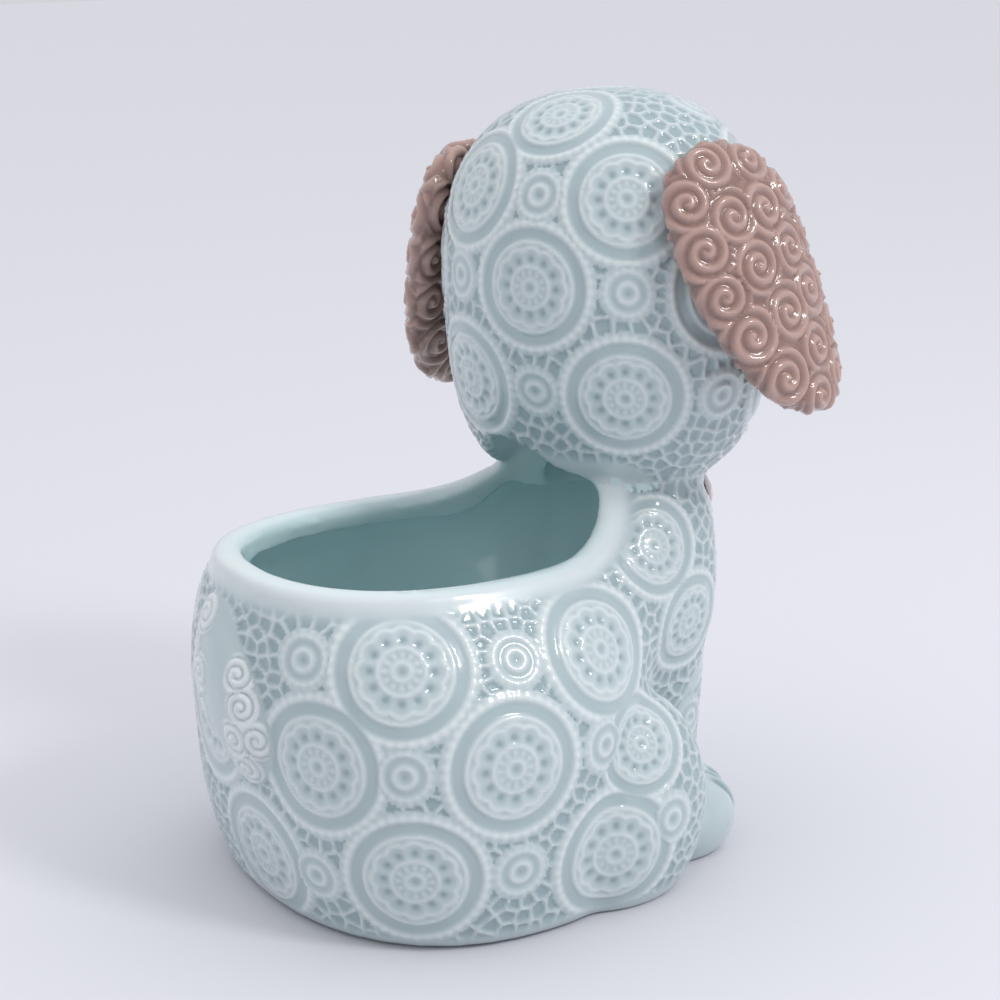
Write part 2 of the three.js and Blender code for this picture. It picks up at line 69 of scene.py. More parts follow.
def add_camera():
    towards = BEHIND * math.cos(CAMERA_RISE) + Vector((0, 0, math.sin(CAMERA_RISE)))
    offset = towards * CAMERA_DISTANCE
    bpy.ops.object.camera_add(location=(CAMERA_TARGET + offset) * MM)
    camera = bpy.context.object
    camera.rotation_euler = (-offset).to_track_quat("-Z", "Y").to_euler()
    camera.data.sensor_width = SENSOR
    camera.data.lens = PHOTO_FOCAL / PHOTO_SIZE * SENSOR
    camera.data.shift_y = (PHOTO_CENTRE_Y - PHOTO_SIZE / 2) / PHOTO_SIZE
    camera.data.clip_start = NEAREST_SEEN
    bpy.context.scene.camera = camera


add_camera()
print("lens in mm:", round(bpy.context.scene.camera.data.lens, 1))

# %% [markdown]
# A few helpers first. Points travel between Blender's metres and this lesson's millimetres, and
# modifiers are applied at once, so that every piece ends as a plain mesh.

# %% Small tools for meshes
def select_only(*objects):
    bpy.ops.object.select_all(action="DESELECT")
    for obj in objects:
        obj.select_set(True)
    bpy.context.view_layer.objects.active = objects[0]


def vector_field(mesh, collection, name):
    flat = np.empty(len(getattr(mesh, collection)) * 3)
    getattr(mesh, collection).foreach_get(name, flat)
    return flat.reshape(-1, 3)


def points_of(obj):
    return vector_field(obj.data, "vertices", "co") / MM


def normals_of(obj):
    return vector_field(obj.data, "vertices", "normal")


def face_centres(obj):
    return vector_field(obj.data, "polygons", "center") / MM


def move_points(obj, points):
    obj.data.vertices.foreach_set("co", (points * MM).ravel())
    obj.data.update()


def keep_values(obj, name, values):
    """Stores one number per point under a name."""
    layer = obj.data.attributes.get(name) or obj.data.attributes.new(name, "FLOAT", "POINT")
    layer.data.foreach_set("value", values.astype(np.float32))


def modify(obj, kind, **settings):
    select_only(obj)
    modifier = obj.modifiers.new(kind.title(), kind)
    for key, value in settings.items():
        setattr(modifier, key, value)
    bpy.ops.object.modifier_apply(modifier=modifier.name)


def tree_of(obj):
    corners = [v.co / MM for v in obj.data.vertices]
    return BVHTree.FromPolygons(corners, [p.vertices for p in obj.data.polygons])


def step(value, low, high):
    """0 below the low value, 1 above the high one, and a smooth rise between them."""
    t = np.clip((value - low) / (high - low), 0, 1)
    return t * t * (3 - 2 * t)


def bump(value, middle, width):
    """A rounded ridge of height 1."""
    return np.exp(-((value - middle) / width) ** 2)


def point_tree(points):
    tree = KDTree(len(points))
    for i, point in enumerate(points):
        tree.insert(point, i)
    tree.balance()
    return tree


def distance_to(points, targets):
    tree = point_tree(targets)
    return np.array([tree.find(p)[2] for p in points])


print("a smooth step, a quarter of the way up its slope:", step(0.25, 0, 1))

# %% [markdown]
# ## The cast skin
# On the real object the castings are joined with slip and sponged smooth before glazing, so no
# gap is left between head, body, legs and tail. Copies of those solids are swollen a little,
# remeshed into one even skin, drawn back in and eased, which also takes the facets off. The skin
# is parted again below, one piece for each solid.

# %% One even skin
VOXEL = 1.35
SWELL = 0.9
KEPT_SWELL = 0.15
MERGE_GAP = 1e-6
EASE_IN = 0.5
EASE_OUT = -0.52
PAIRS_SWOLLEN = 8
PAIRS_DRAWN_BACK = 18
SKIN_NODES = ["pot_body", "head", "tail", "left_foreleg", "right_foreleg", "left_fore_paw",
              "right_fore_paw", "left_hind_paw", "right_hind_paw"]


def copy_of(node, name):
    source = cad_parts[node]
    piece = bpy.data.objects.new(name, source.data.copy())
    bpy.context.scene.collection.objects.link(piece)
    piece.data.materials.clear()
    select_only(piece)
    bpy.ops.object.mode_set(mode="EDIT")
    bpy.ops.mesh.select_all(action="SELECT")
    bpy.ops.mesh.remove_doubles(threshold=MERGE_GAP)
    bpy.ops.object.mode_set(mode="OBJECT")
    return piece


def smooth_pairs(obj, pairs):
    """Steps in and a little further out again, which smooths and keeps the size."""
    select_only(obj)
    bpy.ops.object.mode_set(mode="EDIT")
    bpy.ops.mesh.select_all(action="SELECT")
    for _ in range(pairs):
        bpy.ops.mesh.vertices_smooth(factor=EASE_IN, repeat=1)
        bpy.ops.mesh.vertices_smooth(factor=EASE_OUT, repeat=1)
    bpy.ops.object.mode_set(mode="OBJECT")


def largest_part(obj):
    """Deletes all but the largest connected surface."""
    select_only(obj)
    bpy.ops.mesh.separate(type="LOOSE")
    parts = sorted(bpy.context.selected_objects, key=lambda p: -len(p.data.polygons))
    if len(parts) > 1:
        select_only(*parts[1:])
        bpy.ops.object.delete()
    return parts[0]


trees = {node: tree_of(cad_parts[node]) for node in SKIN_NODES}
copies = [copy_of(node, "skin") for node in SKIN_NODES]
for piece in copies:
    modify(piece, "DISPLACE", strength=SWELL * MM, mid_level=0)
select_only(*copies)
bpy.ops.object.join()
skin = copies[0]
modify(skin, "REMESH", mode="VOXEL", voxel_size=VOXEL * MM)
skin = largest_part(skin)
smooth_pairs(skin, PAIRS_SWOLLEN)
modify(skin, "DISPLACE", strength=(KEPT_SWELL - SWELL) * MM, mid_level=0)
smooth_pairs(skin, PAIRS_DRAWN_BACK)
print("the skin has", len(skin.data.polygons), "faces")

# %% [markdown]
# Each face belongs to the solid that it lies nearest to. A face is an inner one when a light in
# the hollow would shine on it. The pot has four such lights, from its floor up to the neck, and
# the head has one.

# %% Owners and the outside
HEAD_CENTRE = np.array([0.0, -32.2, 142.5])
HOLLOWS = [("pot_body", (0, 20, 40)), ("pot_body", (0, 30, 80)), ("pot_body", (0, -22, 60)),
           ("pot_body", (0, -30, 95)), ("head", tuple(HEAD_CENTRE))]
OWNER_REACH = 12
FAR = 1e3
LEAST_FACING = 0.02
SIGHT_LIFT = 0.5


def owners(centres):
    """For each place the number of the nearest solid, and its lead over the next one in mm."""
    gaps = np.full((len(SKIN_NODES), len(centres)), FAR)
    for k, node in enumerate(SKIN_NODES):
        found = [trees[node].find_nearest(p, OWNER_REACH)[3] for p in centres]
        gaps[k] = [FAR if gap is None else gap for gap in found]
    order = np.sort(gaps, axis=0)
    return gaps.argmin(axis=0), order[1] - order[0]


def inner_faces(obj, owner):
    """True for the faces that a light in their own solid's hollow shines on."""
    centres = face_centres(obj)
    normals = vector_field(obj.data, "polygons", "normal")
    inner = np.zeros(len(centres), bool)
    tree = tree_of(obj)
    for node, place in HOLLOWS:
        towards = np.array(place) - centres
        reach = np.linalg.norm(towards, axis=1)
        towards /= reach[:, None]
        facing = np.sum(towards * normals, axis=1) > LEAST_FACING
        for i in np.flatnonzero((owner == SKIN_NODES.index(node)) & facing & ~inner):
            start = Vector(centres[i] + SIGHT_LIFT * normals[i])
            inner[i] = tree.ray_cast(start, Vector(towards[i]), reach[i])[0] is None
    return inner


face_owner, face_lead = owners(face_centres(skin))
print({node: int((face_owner == k).sum()) for k, node in enumerate(SKIN_NODES)})

# %% [markdown]
# The rim is a plain rolled lip with no lace on it, so its line is worked out again here from the
# sizes of the solids: low behind, and rising in an arch against the neck. The solids were moved
# a fifth of a millimetre forward when they were centred, so the line is moved as well, by the
# same amount as the camera's target.

# %% The line of the rim
RIM_HALF_WIDTH = 38
RIM_REAR = 71
RIM_FRONT = -25.5
RIM_HEIGHT = 80.7
REAR_RISE = 1.5
REAR_SHARPNESS = 1.5
ARCH_RISE = 22.8
ARCH_SHARPNESS = 3.8
ARCH_LEAN = 12
LEAN_SHARPNESS = 20
POT_POWER = 2.3
RIM_POINTS = 240


def rim_line(count):
    """Points on a rounded rectangle, raised and leaning where it meets the neck."""
    angle = np.linspace(0, 2 * math.pi, count, endpoint=False)
    ahead = np.clip(np.cos(angle), 0, 1)
    behind = np.clip(-np.cos(angle), 0, 1)
    squared = lambda v: np.sign(v) * np.abs(v) ** (2 / POT_POWER)
    middle = (RIM_REAR + RIM_FRONT) / 2
    half = (RIM_REAR - RIM_FRONT) / 2
    lean = ARCH_LEAN * ahead ** LEAN_SHARPNESS
    return np.column_stack([
        RIM_HALF_WIDTH * squared(np.sin(angle)),
        middle - half * squared(np.cos(angle)) + lean + CAMERA_TARGET.y,
        RIM_HEIGHT + ARCH_RISE * ahead ** ARCH_SHARPNESS + REAR_RISE * behind ** REAR_SHARPNESS,
    ])


RIM = rim_line(RIM_POINTS)
print("rim from", RIM[:, 2].min().round(1), "to", RIM[:, 2].max().round(1), "mm high")

# %% [markdown]
# Where castings meet, the slip is wiped into a small hollow curve, so the skin is eased more
# there. Then the outside is cut finer, so that it can carry threads of half a millimetre.

# %% Joints eased, outside cut finer
JOINT_REACH = 3.0
JOINT_STEPS = 10
PLAIN_FOOT = 2.0
PLAIN_RIM = 4.0
PAIRS_AFTER_CUT = 2


def chosen_points(obj, chosen_faces):
    """1 on the points of the chosen faces, else 0."""
    share = np.zeros(len(obj.data.vertices))
    for face, chosen in zip(obj.data.polygons, chosen_faces):
        if chosen:
            share[list(face.vertices)] = 1
    return share


def edit_faces(obj, chosen):
    """Goes into edit mode with only the chosen faces selected."""
    select_only(obj)
    bpy.ops.object.mode_set(mode="EDIT")
    bpy.ops.mesh.select_mode(type="FACE")
    bpy.ops.mesh.select_all(action="DESELECT")
    bpy.ops.object.mode_set(mode="OBJECT")
    obj.data.polygons.foreach_set("select", chosen)
    bpy.ops.object.mode_set(mode="EDIT")


def refine(obj, chosen, pairs):
    """Cuts the chosen faces once each way and eases the new points."""
    edit_faces(obj, chosen)
    bpy.ops.mesh.subdivide(number_cuts=1)
    bpy.ops.object.mode_set(mode="OBJECT")
    smooth_pairs(obj, pairs)


joint_group = skin.vertex_groups.new(name="joints")
near_joint = chosen_points(skin, face_lead < JOINT_REACH)
joint_group.add(np.flatnonzero(near_joint).tolist(), 1.0, "REPLACE")
modify(skin, "SMOOTH", factor=EASE_IN, iterations=JOINT_STEPS, vertex_group="joints")

centres = face_centres(skin)
inner = inner_faces(skin, face_owner)
laced = ~inner & (centres[:, 2] > PLAIN_FOOT) & (distance_to(centres, RIM) > PLAIN_RIM)
refine(skin, laced, PAIRS_AFTER_CUT)
print("faces with the outside cut finer:", len(skin.data.polygons))

# %% [markdown]
# ## The lace
# The rosettes are round crochet medallions. Big and small ones take turns like the fields of a
# chessboard. From its middle a big one has a small ring, a ring of beads, a ring, twelve round
# holes, a scalloped edge, a thin thread, a plain band and a corded border. Between them lies a
# net of holes. Each medallion is a height over radius and angle, so it is written as sums of
# ridges, each with its own height, radius and width in millimetres. A displace modifier would
# need a picture of the lace; moving the points needs none.

# %% One medallion
BIG = 17.4
SMALL = 7.0
HOLES = 12
HOLE_RADIUS = 7.4
BEADS = 40
SMALL_BEADS = 18


def big_medallion(r, turn):
    """Heights over radius and angle, for a medallion of the big radius."""
    slice_angle = 2 * math.pi / HOLES
    nearest = np.round(turn / slice_angle) * slice_angle
    hole = np.hypot(r * np.cos(turn - nearest) - HOLE_RADIUS, r * np.sin(turn - nearest))
    scallop = 9.5 + 0.9 * np.abs(np.cos(HOLES / 2 * turn))
    height = -0.42 * bump(r, 0, 0.9) + 0.34 * bump(r, 2.1, 0.6)
    height += (0.1 + 0.2 * np.cos(HOLES * turn)) * bump(r, 3.9, 0.7)
    height += 0.38 * bump(r, 5.5, 0.5)
    height += 0.1 * bump(r, HOLE_RADIUS, 1.6) - 0.7 * bump(hole, 0, 1.05)
    height += 0.42 * bump(r, scallop, 0.6) + 0.42 * bump(r, 11.8, 0.5)
    height -= 0.24 * step(r, 12.2, 12.9) * (1 - step(r, 15.0, 15.7))
    cord = 0.5 + 0.5 * np.cos(BEADS * turn)
    height += (0.42 + 0.16 * cord) * bump(r, 16.4, 0.75)
    return height + 0.2 * cord * bump(r, BIG, 0.6)


def small_medallion(r, turn):
    """The same for the small radius: a dimple, a ring, a groove and a corded border."""
    height = -0.4 * bump(r, 0, 1.0) + 0.42 * bump(r, 2.4, 0.65)
    height -= 0.16 * bump(r, 3.9, 0.7)
    cord = 0.5 + 0.5 * np.cos(SMALL_BEADS * turn)
    return height + (0.34 + 0.12 * cord) * bump(r, 5.6, 0.6) + 0.2 * cord * bump(r, 6.7, 0.5)


print("a big medallion's heights:", big_medallion(np.arange(0.0, 18, 3), np.zeros(6)).round(2))

# %% [markdown]
# A medallion needs to know which way is up where it sits, and the holes of the net need places
# that keep their distance. Both are worked out on the surface itself, so no flat pattern has to
# be stretched over the round body.

# %% Directions and scattered places
def tangents(normal):
    """The two directions on the surface: across and up, or to the rear where it lies flat."""
    up = np.array([0.0, 0, 1]) - normal * normal[2]
    if np.linalg.norm(up) < 0.2:
        up = np.array([0.0, 1, 0]) - normal * normal[1]
    up /= np.linalg.norm(up)
    return np.cross(up, normal), up


def scattered(points, pitch, order):
    """Some of the points, taken in the given order, none nearer to another than the pitch."""
    cells, kept = {}, []
    for i in order:
        p = points[i]
        cell = tuple((p // pitch).astype(int))
        near = [cells.get((cell[0] + a, cell[1] + b, cell[2] + c), ())
                for a in (-1, 0, 1) for b in (-1, 0, 1) for c in (-1, 0, 1)]
        if all(np.sum((p - q) ** 2) > pitch ** 2 for group in near for q in group):
            cells.setdefault(cell, []).append(p)
            kept.append(i)
    return np.array(kept)


print("across and up on the right flank:", *tangents(np.array([-1.0, 0, 0])))

# %% Holes and threads of the net
HOLE_PITCH = 3.3
HOLE_DEPTH = 0.5
THREAD_HEIGHT = 0.24
THREAD_EDGES = (0.3, 1.5)
COLLAR_GAP = 1.9
COLLAR_SLACK = 0.35


def collar_of_holes(medallions):
    """Places for holes in a ring round each medallion."""
    places = []
    for centre, normal, radius in medallions:
        across, up = tangents(normal)
        ring = radius + COLLAR_GAP
        count = round(2 * math.pi * ring / (HOLE_PITCH + COLLAR_SLACK))
        for k in range(count):
            turn = 2 * math.pi * k / count
            places.append(centre + ring * (math.cos(turn) * across + math.sin(turn) * up))
    return np.array(places).reshape(-1, 3)


def net(points, holes):
    """Threads where two holes are equally near, and hollows between them."""
    tree = point_tree(holes)
    nearest = np.array([[gap for _, _, gap in tree.find_n(p, 2)] for p in points])
    thread = 1 - step(nearest[:, 1] - nearest[:, 0], *THREAD_EDGES)
    return (THREAD_HEIGHT + HOLE_DEPTH) * thread - HOLE_DEPTH


print("threads", THREAD_HEIGHT, "mm high between holes", HOLE_DEPTH, "mm deep")

# %% The lace over a surface
LACE_SHARE = 0.85
COLLAR_REACH = 1.0
BIG_EDGE = 1.06
SMALL_EDGE = 1.08
MEDALLION_DEPTH = 0.6
NOT_TAKEN = 9.0
LEAST_SHARE = 0.02


def lace(points, medallions, where, seed):
    """The lace's height at each point. A medallion is (centre, normal, radius)."""
    share = np.full(len(points), NOT_TAKEN)
    height = np.zeros(len(points))
    for centre, normal, radius in medallions:
        away = points - centre
        r = np.linalg.norm(away, axis=1)
        is_big = radius > 1.5 * SMALL
        mine = (r / radius < share) & (r < radius * (BIG_EDGE if is_big else SMALL_EDGE))
        mine &= np.abs(away @ normal) < MEDALLION_DEPTH * radius
        if not mine.any():
            continue
        across, up = tangents(normal)
        turn = np.arctan2(away[mine] @ up, away[mine] @ across)
        if is_big:
            height[mine] = big_medallion(r[mine] * BIG / radius, turn)
        else:
            height[mine] = small_medallion(r[mine] * SMALL / radius, turn)
        share[mine] = r[mine] / radius
    ground = np.flatnonzero((share == NOT_TAKEN) & (where > LEAST_SHARE))
    if len(ground) < 2:
        return height * where
    tree = point_tree(points[ground])
    found = [tree.find(p) for p in collar_of_holes(medallions)]
    first = [index for _, index, gap in found if gap < COLLAR_REACH]
    rest = np.random.default_rng(seed).permutation(len(ground))
    order = np.concatenate([first, rest]).astype(int)
    holes = points[ground][scattered(points[ground], HOLE_PITCH, order)]
    height[ground] = net(points[ground], holes)
    return height * where * LACE_SHARE


print("the lace stands at", LACE_SHARE, "of the medallions' written heights")

# %% [markdown]
# The medallions stand in rows, big and small in turn. On the side that the camera sees they are
# listed one by one, as the mould's maker set them to suit the haunch and the shoulder. The other
# side gets the same ones mirrored, and the rest is filled row by row.

# %% Where the pot's medallions sit
MIDDLE = 13.5
POT_BIG = [(-45, 54, 69.5), (-60, 33, 46.5), (-50, 54, 20), (-34, 70, 46), (-51, 4, 67),
           (-58, 4, 17.5), (-11, 73, 16)]
POT_MIDDLE = [(-56, -5, 43), (-36, -22, 84), (-36, -33, 62.5)]
POT_SMALL = [(-52, 28, 69.5), (-51, 57, 46.5), (-59, 31, 20), (-28, 70, 70), (-30, 69, 17),
             (-58, 7, 46), (-59, -12, 23)]
MIRROR_ROOM = 0.9
FILL_ROWS = (20, 46, 70, 90)
FILL_TURNS = 40
POT_AXIS = (0.0, 20.0)
OUTSIDE = 200


def seat(tree, place, radius):
    """A medallion set on the surface where it lies nearest to the place."""
    place, normal, _, _ = tree.find_nearest(Vector(place))
    return np.array(place), np.array(normal), radius


def room_for(place, radius, found, share):
    return all(np.linalg.norm(place - centre) > share * (radius + other)
               for centre, _, other in found)


def medallions_on_pot(tree):
    """Those listed, their mirror images where there is room, and rows that fill the rest."""
    found = []
    for side in (1, -1):
        for places, radius in ((POT_BIG, BIG), (POT_MIDDLE, MIDDLE), (POT_SMALL, SMALL)):
            for x, y, z in places:
                one = seat(tree, (x * side, y, z), radius)
                if side == 1 or room_for(one[0], radius, found, MIRROR_ROOM):
                    found.append(one)
    for radius in (BIG, MIDDLE, SMALL):
        for height in FILL_ROWS:
            for k in range(FILL_TURNS):
                turn = 2 * math.pi * k / FILL_TURNS
                out = Vector((math.sin(turn), math.cos(turn), 0))
                hit = tree.ray_cast(Vector((*POT_AXIS, height)) + out * OUTSIDE, -out)
                if hit[0] and room_for(np.array(hit[0]), radius, found, 1.0):
                    found.append((np.array(hit[0]), np.array(hit[1]), radius))
    return found


medallions = {"pot_body": medallions_on_pot(trees["pot_body"])}
print("medallions on the pot:", len(medallions["pot_body"]))

# %% Where the head's medallions sit
HEAD_AXIS = tuple(HEAD_CENTRE[:2])
HEAD_ROWS = (121.0, 147.0, 168.5)
HEAD_COLUMNS = 10
HEAD_FIRST = math.radians(26)
HEAD_BIG = 16.0
HEAD_SMALL = 6.6
HEAD_TOPS = [(-6.5, -13.1, 14.5), (14, -38, 14.5), (-15, -46, 7.0)]
ABOVE = 260


def medallions_on_head(tree):
    """A few on the crown, and columns round the sides with big and small ones in turn."""
    found = []
    for x, y, radius in HEAD_TOPS:
        hit = tree.ray_cast(Vector((x, y, ABOVE)), Vector((0, 0, -1)))
        found.append(seat(tree, hit[0], radius))
    for column in range(HEAD_COLUMNS):
        turn = HEAD_FIRST + column * 2 * math.pi / HEAD_COLUMNS
        out = Vector((-math.sin(turn), math.cos(turn), 0))
        for row, height in enumerate(HEAD_ROWS):
            hit = tree.ray_cast(Vector((*HEAD_AXIS, height)) + out * OUTSIDE, -out)
            radius = HEAD_BIG if (column + row) % 2 == 1 else HEAD_SMALL
            if hit[0]:
                found.append(seat(tree, hit[0], radius))
    return found


medallions["head"] = medallions_on_head(trees["head"])
print("medallions on the head:", len(medallions["head"]))

# %% [markdown]
# Curls cover the ears, like knitted wool, and a few sit on the tail. Each is a raised rope wound
# into a spiral, with a bead in its middle.

# %% Curls
CURL_RADIUS = 6.4
ROPE_PITCH = 3.2
CURL_HEIGHT = 1.25
CURL_FADE = (0.6, 1.8)
ROPE_ROUNDNESS = 0.7
BEAD_HEIGHT = 0.35
BEAD_WIDTH = 1.2


def curl(r, turn):
    """One curl's height: a rope along a spiral, and a bead in the middle."""
    rope = 0.5 + 0.5 * np.cos(2 * math.pi * (r / ROPE_PITCH - turn / (2 * math.pi)))
    inside = 1 - step(r, CURL_RADIUS + CURL_FADE[0], CURL_RADIUS + CURL_FADE[1])
    return (rope ** ROPE_ROUNDNESS * inside + BEAD_HEIGHT * bump(r, 0, BEAD_WIDTH)) * CURL_HEIGHT


print("a curl's heights outwards:", curl(np.arange(0, 9, 1.5), np.zeros(6)).round(2))

# %% Curls over a surface
CURL_REACH = 1.3
CURL_SIZES = (0.92, 1.06)
LEAST_ALIKE = -0.2
MOST_SAMPLES = 2500
EASING_ROUNDS = 25


def spread_evenly(points, pitch, seed):
    """The numbers of some points, scattered and then eased apart to fill the surface."""
    order = np.random.default_rng(seed).permutation(len(points))
    centres = points[scattered(points, pitch, order)]
    for _ in range(EASING_ROUNDS):
        owner = np.linalg.norm(points[:, None] - centres[None], axis=2).argmin(axis=1)
        centres = np.array([points[owner == k].mean(axis=0) for k in range(len(centres))])
    return np.linalg.norm(points[:, None] - centres[None], axis=2).argmin(axis=0)


def curls_over(points, normals, where, pitch, seed, scale=1.0):
    """The curls' height at each point, where the share is above a half."""
    chosen = np.flatnonzero(where > 0.5)
    sample = chosen[::max(1, len(chosen) // MOST_SAMPLES)]
    middles = sample[spread_evenly(points[sample], pitch, seed)]
    rng = np.random.default_rng(seed)
    height = np.zeros(len(points))
    nearest = np.full(len(points), FAR)
    for middle in middles:
        size = scale * rng.uniform(*CURL_SIZES)
        away = points - points[middle]
        r = np.linalg.norm(away, axis=1) / size
        mine = (r < CURL_RADIUS * CURL_REACH) & (r < nearest)
        mine &= normals @ normals[middle] > LEAST_ALIKE
        across, up = tangents(normals[middle])
        turn = np.arctan2(away[mine] @ up, away[mine] @ across) + rng.uniform(0, 2 * math.pi)
        height[mine] = curl(r[mine], turn) * size
        nearest[mine] = r[mine]
    return height * where


print("a curl reaches", round(CURL_RADIUS * CURL_REACH, 1), "mm from its middle")

# %% [markdown]
# Now the whole skin gets its relief: lace on pot, head and forelegs, curls on the tail, grooves
# between the toes. The muzzle, the rim and the foot's edge stay plain. The rim is coloured as if
# raised: partly because the glaze runs thin over it as over a ridge, partly as a painted
# highlight for the bright overhead light that its top catches.

# %% Toes
TOE_PLACES = (-0.36, 0.0, 0.36)
TOE_SPREAD = 0.25
TOE_DEPTH = 1.1
TOE_WIDTH = 1.0
TOE_STARTS = (0.2, 0.6)
TOE_FOOT = (1.5, 4.0)


def toes(points):
    """Three grooves at the front of a paw, a little further apart at its tip."""
    flat = points[:, :2] - (points.min(axis=0) + points.max(axis=0))[:2] / 2
    sideways, forward = flat[:, 0], -flat[:, 1]
    share = forward / forward.max()
    height = np.zeros(len(points))
    for place in TOE_PLACES:
        line = place * sideways.max() * (1 - TOE_SPREAD + TOE_SPREAD * share)
        height -= TOE_DEPTH * bump(sideways, line, TOE_WIDTH)
    return height * step(share, *TOE_STARTS) * step(points[:, 2], *TOE_FOOT)


print(len(TOE_PLACES), "grooves a paw,", TOE_DEPTH, "mm deep")

# %% The skin's relief
FACE_TURN = math.radians(25)
FACE_DROP = 0.12
FACE = np.array([math.sin(FACE_TURN), -math.cos(FACE_TURN), -FACE_DROP])
MUZZLE_EDGES = (0.72, 0.82)
NECK_BAND = 5
INSIDE_EDGES = (1.5, 5.0)
RIM_EDGES = (4.5, 7.5)
FOOT_EDGES = (2.0, 5.0)
JOINT_EDGES = (0.1, 0.9)
LEG_MEDALLIONS = [(60, 6.0), (44, 6.0), (29, 5.6)]
LEG_OUTSIDE = (90, -60)
PAW_EDGES = (18, 22)
TAIL_EDGES = (3.5, 6.0)
TAIL_PITCH = 8.5
TAIL_SEED = 2
TAIL_SCALE = 0.68


def skin_relief(obj):
    """The skin's points with their relief, and the relief itself."""
    points, normals = points_of(obj), normals_of(obj)
    owner, lead = owners(points)
    outer = 1 - chosen_points(obj, inner_faces(obj, owners(face_centres(obj))[0]))
    rim_gap = distance_to(points, RIM)
    # The inside share marks where painted bounce light goes: the inner faces, from a little below
    # the rim down.
    keep_values(obj, "inside", (1 - outer) * step(rim_gap, *INSIDE_EDGES))
    on_head = owner == SKIN_NODES.index("head")
    rim_gap = np.where(on_head, rim_gap - NECK_BAND, rim_gap)
    free = outer * step(rim_gap, *RIM_EDGES) * step(points[:, 2], *FOOT_EDGES)
    relief = np.zeros(len(points))
    for k, node in enumerate(SKIN_NODES):
        mine = owner == k
        where = (free * step(lead, *JOINT_EDGES))[mine]
        mine_points = points[mine]
        if node == "head":
            away = mine_points - HEAD_CENTRE
            to_face = (away @ FACE) / np.linalg.norm(away, axis=1)
            where = where * (1 - step(to_face, *MUZZLE_EDGES))
        if node in medallions:
            relief[mine] = lace(mine_points, medallions[node], where, k)
        elif node.endswith("foreleg"):
            side = 1 if node.startswith("left") else -1
            beside = (side * LEG_OUTSIDE[0], LEG_OUTSIDE[1])
            seats = [seat(trees[node], (*beside, z), radius) for z, radius in LEG_MEDALLIONS]
            above_paw = where * step(mine_points[:, 2], *PAW_EDGES)
            relief[mine] = lace(mine_points, seats, above_paw, k)
        elif node == "tail":
            middle = (mine_points.min(axis=0) + mine_points.max(axis=0)) / 2
            sides = step(np.abs(mine_points[:, 0] - middle[0]), *TAIL_EDGES) * where
            relief[mine] = curls_over(mine_points, normals[mine], sides, TAIL_PITCH, TAIL_SEED,
                                      TAIL_SCALE)
        else:
            relief[mine] = toes(mine_points) * outer[mine]
    return points + normals * relief[:, None], relief


# %% The relief made and kept for the colour
# The rim band is coloured pale: partly the glaze's thin edge, partly a painted highlight for the
# overhead light on its top.
RIM_THIN_GLAZE_AND_HIGHLIGHT = 0.4
RIM_GLAZE_AND_HIGHLIGHT_EDGES = (3.0, 6.0)
rim_glaze_and_highlight = 1 - step(distance_to(points_of(skin), RIM), *RIM_GLAZE_AND_HIGHLIGHT_EDGES)
moved, relief = skin_relief(skin)
move_points(skin, moved)
keep_values(skin, "relief", relief + RIM_THIN_GLAZE_AND_HIGHLIGHT * rim_glaze_and_highlight)
print("relief from", relief.min().round(2), "to", relief.max().round(2), "mm")

# %% [markdown]
# The skin is parted into one piece for each solid. Where two pieces meet they share their border
# points, so no line shows. The lace on the front half of the pot is a second piece of its skin,
# because one mesh of both would be too heavy.

# %% The skin parted
def part_off(obj, chosen, name):
    """Takes the chosen faces off as a piece of their own."""
    edit_faces(obj, chosen)
    bpy.ops.mesh.separate(type="SELECTED")
    bpy.ops.object.mode_set(mode="OBJECT")
    piece = next(o for o in bpy.context.selected_objects if o is not obj)
    piece.name = name
    return piece


pieces = {}
face_owner, _ = owners(face_centres(skin))
for k in range(1, len(SKIN_NODES)):
    pieces[SKIN_NODES[k]] = part_off(skin, face_owner == k, SKIN_NODES[k] + "_skin")
    face_owner = face_owner[face_owner != k]
skin.name = "pot_body_skin"
pieces["pot_body"] = skin
print({node: len(piece.data.polygons) for node, piece in pieces.items()})

# %% The front half of the pot's lace
CHEST_REAR = 8
CHEST_RIM_GAP = 8
CHEST_FOOT = 3
centres = face_centres(skin)
plain_or_rear = inner_faces(skin, np.zeros(len(centres), int)) | (centres[:, 1] > CHEST_REAR)
plain_or_rear |= (distance_to(centres, RIM) < CHEST_RIM_GAP) | (centres[:, 2] < CHEST_FOOT)
chest = part_off(skin, ~plain_or_rear, "chest_skin")
print("the pot's skin has", len(skin.data.polygons), "faces, the chest's", len(chest.data.polygons))

# %% [markdown]
# ## Ears, nose, eyes and bow
# These are made apart and stuck on, so each is a skin of its own. The ears are pressed slabs
# with curls on both faces, like the fleece of a poodle.

# %% Ears
EAR_VOXEL = 0.62
EAR_PAIRS = 26
EAR_PITCH = 11.0
EAR_SEEDS = {"left": 3, "right": 5}
EAR_TURN_OVER = (-0.15, 0.05)


def small_skin(node, voxel, pairs):
    """A copy of a solid, remeshed evenly and eased."""
    piece = copy_of(node, node + "_skin")
    modify(piece, "REMESH", mode="VOXEL", voxel_size=voxel * MM)
    smooth_pairs(piece, pairs)
    return piece


